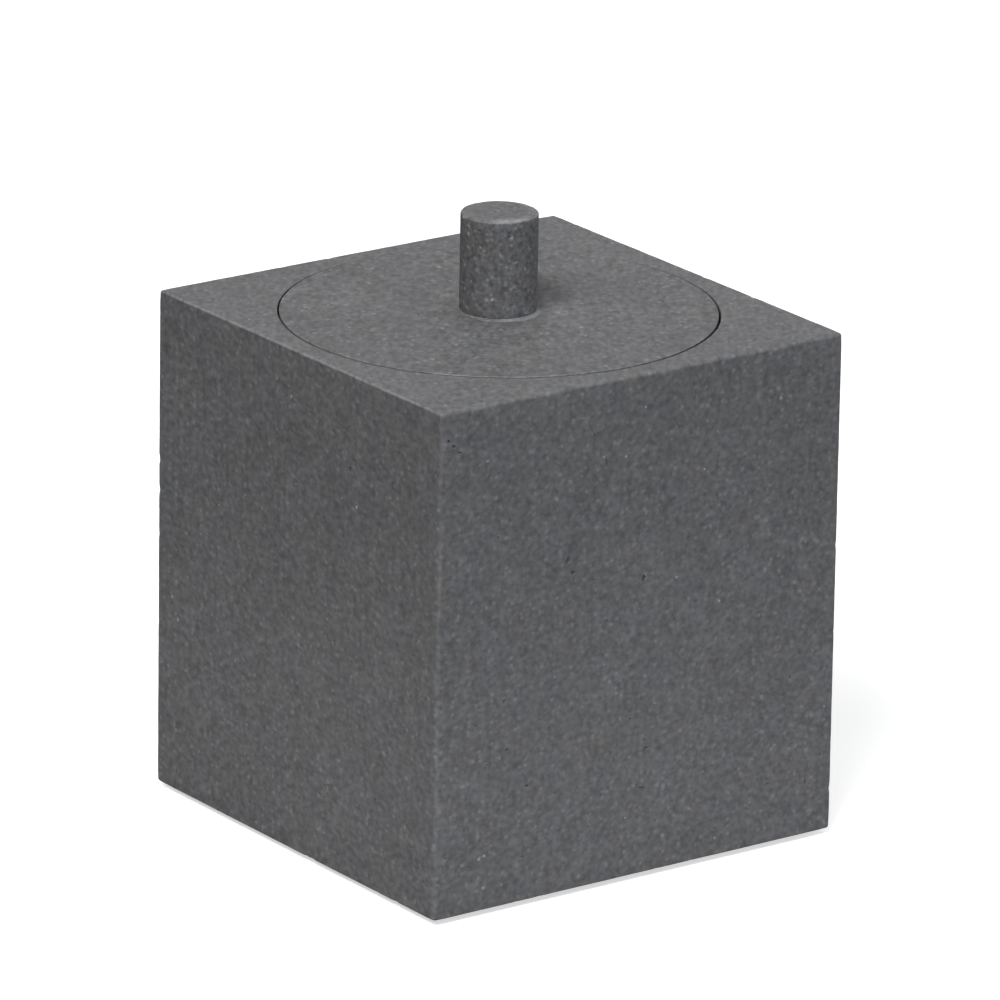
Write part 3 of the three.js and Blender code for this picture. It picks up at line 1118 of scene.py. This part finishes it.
class Stone(Nodes):
    """Honed fine-grained basalt: a grey ground with pale and dark grains, crystals and pores.

    Its grains lie drawn out along one level direction, the fabric of the quarried stone.
    """

    def __init__(self, name, look):
        super().__init__(name)
        self.look, size = look, look["size"]
        self.spot = self.moved(look["offset"])
        fabric = self.drawn_out(CAMERA_TURN, look["fabric"], look["offset"])
        self.fleck = self.noise(FLECK_SIZE * size, detail=1, place=fabric)
        self.fine = self.noise(FINE_SIZE * size, detail=1, place=fabric)
        self.pick, self.reach, self.second = self.cells(FAINT_SIZE * size, fabric)
        self.dark = self.times(self.ramp(self.pick, *DARK_PICK), self.ramp(self.reach, *DARK_REACH))
        # Worn edges: paler as worn stone and as a painted edge highlight; the same mask also lowers the
        # roughness
        self.worn = self.times(self.attribute("wear"), self.ramp(self.fine, *WORN_AND_HIGHLIGHT_RAMP))
        self.lively = self.ramp(self.attribute("calm"), 0.0, 1.0, 1.0, CALM_SHARE)

    def clouded(self):
        """Clouds of tone, then of hue, from a brownish to a bluish grey."""
        body, clouds = self.look["body"], self.look["clouds"]
        cloud = self.noise(CLOUD_SIZE, detail=3, place=self.spot)
        blotch = self.noise(BLOTCH_SIZE, place=self.spot)
        tone = self.ramp(self.weighed(CLOUD_SHARES, cloud, blotch), *TONE_RAMP)
        darker, paler = [grey(body * (1 + part), STONE_BLUE) for part in (-clouds, clouds)]
        ground = self.mix(tone, darker, paler)
        hue = self.ramp(self.noise(HUE_SIZE, place=self.moved(HUE_OFFSET)), *HUE_RAMP)
        return self.mix(1.0, ground, self.mix(hue, WARM_TINT, COOL_TINT), "MULTIPLY")

    def mottled(self, ground):
        """Grain a fraction of a millimetre across, evenly darker and paler."""
        depth = MOTTLE_DEPTH * self.look["grain"]
        grain = self.weighed(MOTTLE_SHARES, self.fleck, self.fine)
        mottle = self.ramp(grain, *MOTTLE_RAMP, 1 - depth, 1 + depth)
        return self.mix(self.lively, ground, mottle, "MULTIPLY")

    def speckled(self, ground):
        """Single grains: faint ones in half of the cells, then a few bright and a few dark ones."""
        grain, specks = self.look["grain"], self.look["specks"]
        faint = self.times(self.ramp(self.pick, *FAINT_PICK), self.ramp(self.reach, *FAINT_REACH),
                           self.times(self.second, FAINT_DEPTH * grain))
        ground = self.mix(faint, ground, PALE_GRAIN)
        lot, near, third = self.cells(BRIGHT_SIZE * self.look["size"], self.moved(BRIGHT_OFFSET))
        ragged = self.add(near, self.times(self.fine, BRIGHT_RAGGED), BRIGHT_MARGIN)
        bright = self.times(self.ramp(lot, *BRIGHT_PICK), self.ramp(ragged, *BRIGHT_REACH),
                            self.times(third, BRIGHT_DEPTH * specks), self.lively)
        ground = self.mix(bright, ground, PALE_GRAIN)
        return self.mix(self.times(self.dark, DARK_DEPTH * grain), ground, DARK_GRAIN)

    def marked(self, ground):
        """The crystals, worn edges and pores that the mesh marks: pale crystals with the knob's painted
        highlight, paler worn edges with painted edge highlights, and painted shade in the pores.
        """
        # pale crystals, and on the knob's top the painted highlight
        crystal = self.times(self.attribute("crystal"), self.ramp(self.fine, *CRYSTAL_AND_HIGHLIGHT_RAMP))
        ground = self.mix(crystal, ground, CRYSTAL_AND_HIGHLIGHT_TONE)
        # pale worn edges, partly a painted edge highlight
        ground = self.mix(self.times(self.worn, WORN_AND_HIGHLIGHT_DEPTH), ground, WORN_AND_HIGHLIGHT_TONE)
        # painted shade in the pores' bowls
        return self.mix(self.ramp(self.attribute("pore"), *PORE_SHADE_RAMP), ground, PORE_SHADE_TONE)

    def honing(self):
        """Faint straight strokes of the honing disc, all one way across the top."""
        across = self.drawn_out(CAMERA_AZIMUTH, HONING_PITCH / HONING_LENGTH)
        streaks = self.ramp(self.noise(HONING_PITCH, detail=1, place=across), *HONING_RAMP)
        return self.times(streaks, self.ramp(self.noise(HONING_PATCH), *HONING_PATCH_RAMP))

    def tool_rings(self):
        """The rings that the core drill leaves round the wall of the well and on its ledge and floor."""
        x, y, z = self.node("SeparateXYZ", {0: self.place}).outputs
        out = self.math("SQRT", self.add(self.times(x, x), self.times(y, y)))
        along = self.node("CombineXYZ", {0: self.add(out, z)}).outputs[0]
        fine, bands = self.noise(TOOL_PITCH, place=along), self.noise(TOOL_BAND, place=along)
        return self.times(fine, self.ramp(bands, *TOOL_RAMP))

    def made(self):
        """The finished material."""
        ground = self.marked(self.speckled(self.mottled(self.clouded())))
        height = self.weighed(RELIEF_SHARES, self.fleck, self.fine, self.dark)
        rough = self.ramp(self.weighed(ROUGH_SHARES, self.fleck, self.pick), *ROUGH_RAMP)
        rough = self.math("SUBTRACT", rough, self.times(self.worn, WORN_POLISH))
        if self.look["honed"]:
            lines = self.honing()
            ground = self.mix(self.times(lines, self.look["honed"]), ground, PALE_GRAIN)
            height = self.add(height, self.times(lines, HONING_RELIEF))
        bored = self.times(self.attribute("bored"), self.times(self.tool_rings(), TOOL_RELIEF))
        normal = self.bump(self.add(height, bored), RELIEF_DEPTH, RELIEF_STRENGTH)
        return self.surface(ground, rough, normal, **{"Specular IOR Level": STONE_SHEEN})


# The part of a noise's range that a steep and a gentle ramp take up
STEEP, GENTLE = (0.35, 0.65), (0.3, 0.7)

ADHESIVE_MOTTLE, ADHESIVE_GRAIN, ADHESIVE_FINE_SHARE = 0.5 * MM, 0.16 * MM, 0.4
ADHESIVE_AND_HIGHLIGHT_TONES = grey(0.12, 0.05), grey(0.19, 0.05)
ADHESIVE_DUST, ADHESIVE_DUST_RAMP = grey(0.26, 0.03), (0.58, 0.7, 0.0, 0.3)
ADHESIVE_ROUGH = (0.42, 0.58)


def adhesive_material():
    """Stone adhesive tinted to match, filled with stone dust; its pale tone is also a painted highlight
    at the knob's foot.
    """
    n = Nodes("stone_adhesive_look")
    mottle = n.noise(ADHESIVE_MOTTLE, detail=3, rough=0.6)
    fine = n.noise(ADHESIVE_GRAIN, rough=0.6)
    colour = n.mix(n.ramp(mottle, *STEEP), *ADHESIVE_AND_HIGHLIGHT_TONES)
    colour = n.mix(n.ramp(fine, *ADHESIVE_DUST_RAMP), colour, ADHESIVE_DUST)
    height = n.add(mottle, n.times(fine, ADHESIVE_FINE_SHARE))
    rough = n.ramp(mottle, *GENTLE, *ADHESIVE_ROUGH)
    return n.surface(colour, rough, n.bump(height, depth=0.04 * MM, strength=0.6))


RUBBER_CLOUD, RUBBER_GRAIN, RUBBER_DUST = 3.5 * MM, 0.22 * MM, 1.1 * MM
RUBBER_TONES = (0.86, 1.14)
RUBBER_DUST_RAMP, RUBBER_DUST_PALER, RUBBER_DUST_GREY = (0.56, 0.74, 0.0, 0.35), 2.2, 0.02
RUBBER_ROUGH_VARY = 0.08


def rubber_material(name, shade, sheen_rough):
    """Moulded rubber or silicone: matt, with fine mould grain and a little dust in the hollows."""
    n = Nodes(name)
    cloud = n.noise(RUBBER_CLOUD, detail=3, rough=0.55)
    grain = n.noise(RUBBER_GRAIN, detail=3, rough=0.6)
    dust = n.ramp(n.noise(RUBBER_DUST, detail=4, rough=0.7), *RUBBER_DUST_RAMP)
    colour = n.mix(n.ramp(cloud, *STEEP), *[grey(shade * tone) for tone in RUBBER_TONES])
    colour = n.mix(dust, colour, grey(shade * RUBBER_DUST_PALER + RUBBER_DUST_GREY))
    rough = n.ramp(grain, *GENTLE, sheen_rough - RUBBER_ROUGH_VARY, sheen_rough + RUBBER_ROUGH_VARY)
    return n.surface(colour, rough, n.bump(grain, depth=0.03 * MM, strength=0.5))


STEEL_RINGS, STEEL_SCUFF = 0.12 * MM, 0.9 * MM
STEEL_ALONG = (0.05, 0.05, 1)
STEEL_TONES = (0.46, 0.47, 0.48, 1), (0.33, 0.33, 0.34, 1)
STEEL_RAMP, STEEL_ROUGH = (0.4, 0.7), (0.26, 0.46)


def steel_material():
    """A turned stainless dowel: fine rings round it, and scuffs."""
    n = Nodes("dowel_steel_look")
    rings = n.noise(STEEL_RINGS, place=n.moved((0, 0, 0), STEEL_ALONG))
    scuff = n.noise(STEEL_SCUFF, detail=4, rough=0.65)
    colour = n.mix(n.ramp(scuff, *STEEL_RAMP), *STEEL_TONES)
    rough = n.ramp(n.weighed((0.5, 0.5), rings, scuff), *STEEP, *STEEL_ROUGH)
    return n.surface(colour, rough, n.bump(rings, depth=0.02 * MM, strength=0.6), Metallic=1.0)


def dress(piece, material, slot, body, *nodes):
    """Gives a piece its material, its body and the nodes it stands for; slot is not used."""
    piece.data.materials.clear()
    piece.data.materials.append(material)
    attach(piece, body)
    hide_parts(*nodes)


SILICONE_SHADE, SILICONE_ROUGH = 0.045, 0.55
RUBBER_SHADE, RUBBER_ROUGH = 0.018, 0.7


def make_object():
    block_look = Stone("block_stone_look", BLOCK_STONE).made()
    dress(make_block(), block_look, "honed_stone", "holder", "stone_block")
    dress(make_lid(), Stone("lid_stone_look", LID_STONE).made(), "lid_stone", "lid", "lid_disc")
    dress(make_knob(), Stone("knob_stone_look", KNOB_STONE).made(), "knob_stone", "lid", "knob")
    dress(make_bead(), adhesive_material(), "stone_adhesive", "lid", "knob_bond")

    ring_look = rubber_material("silicone_look", SILICONE_SHADE, SILICONE_ROUGH)
    dress(make_seat_ring(), ring_look, "silicone", "seat_ring", "lid_seat_ring")

    foot_look = rubber_material("foot_rubber_look", RUBBER_SHADE, RUBBER_ROUGH)
    for node in sorted(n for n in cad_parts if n.startswith("foot_")):
        dress(make_foot(node), foot_look, "foot_rubber", "holder", node)

    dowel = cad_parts["knob_dowel"]
    dowel.data.materials.clear()
    dowel.data.materials.append(steel_material())


# Floor, background and lamps

FLOOR_HALF = 6.0
FLOOR_COLOUR = 0.12
FLOOR_SEEN_COLOUR = 0.62
FLOOR_GLOW = 0.58
WORLD_STRENGTH = 0.05
WORLD_SHEEN = 0.3


def make_floor():
    mesh = bpy.data.meshes.new("floor")
    h = FLOOR_HALF
    mesh.from_pydata([(-h, -h, 0), (h, -h, 0), (h, h, 0), (-h, h, 0)], [], [(0, 1, 2, 3)])
    floor = new_object("floor", mesh)
    n = Nodes("floor_look")
    seen = n.seen()
    diffuse = n.node("BsdfDiffuse", {"Color": n.mix(seen, grey(FLOOR_COLOUR), grey(FLOOR_SEEN_COLOUR))})
    glow = n.node("Emission", {"Color": WHITE, "Strength": n.times(seen, FLOOR_GLOW)})
    both = n.node("AddShader", {0: diffuse.outputs[0], 1: glow.outputs[0]})
    mesh.materials.append(n.finish(both))


def make_world():
    world = bpy.context.scene.world = bpy.data.worlds.new("studio")
    n = Nodes("studio", world)
    sheen = n.ramp(n.ray("Glossy"), 0.0, 1.0, WORLD_STRENGTH, WORLD_SHEEN)
    strength = n.math("MAXIMUM", n.seen(), sheen)
    n.finish(n.node("Background", {"Color": WHITE, "Strength": strength}), "World")


TARGET_UP = 0.6
TARGET = Vector((0, 0, SIDE * TARGET_UP))


def soft_box(name, direction, distance, size, level, colour=(1, 1, 1), target=TARGET, glossy=True):
    """A soft box. level is how bright it alone makes a white card that faces it, where 1 is white."""
    data = bpy.data.lights.new(name, "AREA")
    data.shape = "RECTANGLE"
    data.size, data.size_y = size
    data.energy = level * (pi * distance) ** 2
    data.color = colour
    lamp = new_object(name, data)
    away = direction.normalized()
    lamp.location = target + away * distance
    lamp.rotation_mode = "QUATERNION"
    lamp.rotation_quaternion = (-away).to_track_quat("-Z", "Y")
    lamp.visible_camera = False
    lamp.visible_glossy = glossy


def aim(rightward, toward, up):
    """A direction from the object, as the photograph's camera sees it."""
    return LEVEL_RIGHT * rightward + LEVEL_TOWARD * toward + Vector((0, 0, up))


FOOT_CARD_DISTANCE = 0.07
FOOT_CARD_HEIGHT = 0.012
FOOT_CARD_SIZE = (0.2, 0.02)
FOOT_CARD_LEVEL = 0.42
COOL_LIGHT = (0.90, 0.95, 1.0)


def foot_card(name, away):
    """A low strip of light along the foot of one face."""
    target = away * SIDE / 2 + Vector((0, 0, FOOT_CARD_HEIGHT))
    soft_box(name, away, FOOT_CARD_DISTANCE, FOOT_CARD_SIZE, FOOT_CARD_LEVEL, target=target)


def make_lamps():
    soft_box("key", aim(-0.40, 1.0, 1.25), distance=2.6, size=(1.1, 0.9), level=1.12)
    soft_box("upper", aim(0.10, -0.35, 1.0), distance=2.6, size=(2.4, 2.4), level=0.345)
    soft_box("side_right", aim(0.8, 0.6, 0.2), distance=2.5, size=(1.2, 1.6), level=0.36,
             colour=COOL_LIGHT)
    soft_box("edge_right", aim(1.0, -0.60, 0.08), distance=2.5, size=(1.0, 1.2), level=0.20)
    soft_box("back", aim(0.05, -1.0, 0.22), distance=2.6, size=(1.6, 1.0), level=0.55, glossy=False)
    foot_card("foot_card_left", Vector((0, -1, 0)))
    foot_card("foot_card_right", Vector((1, 0, 0)))


make_object()
make_floor()
make_world()
make_lamps()
bpy.context.scene.view_settings.view_transform = "Standard"
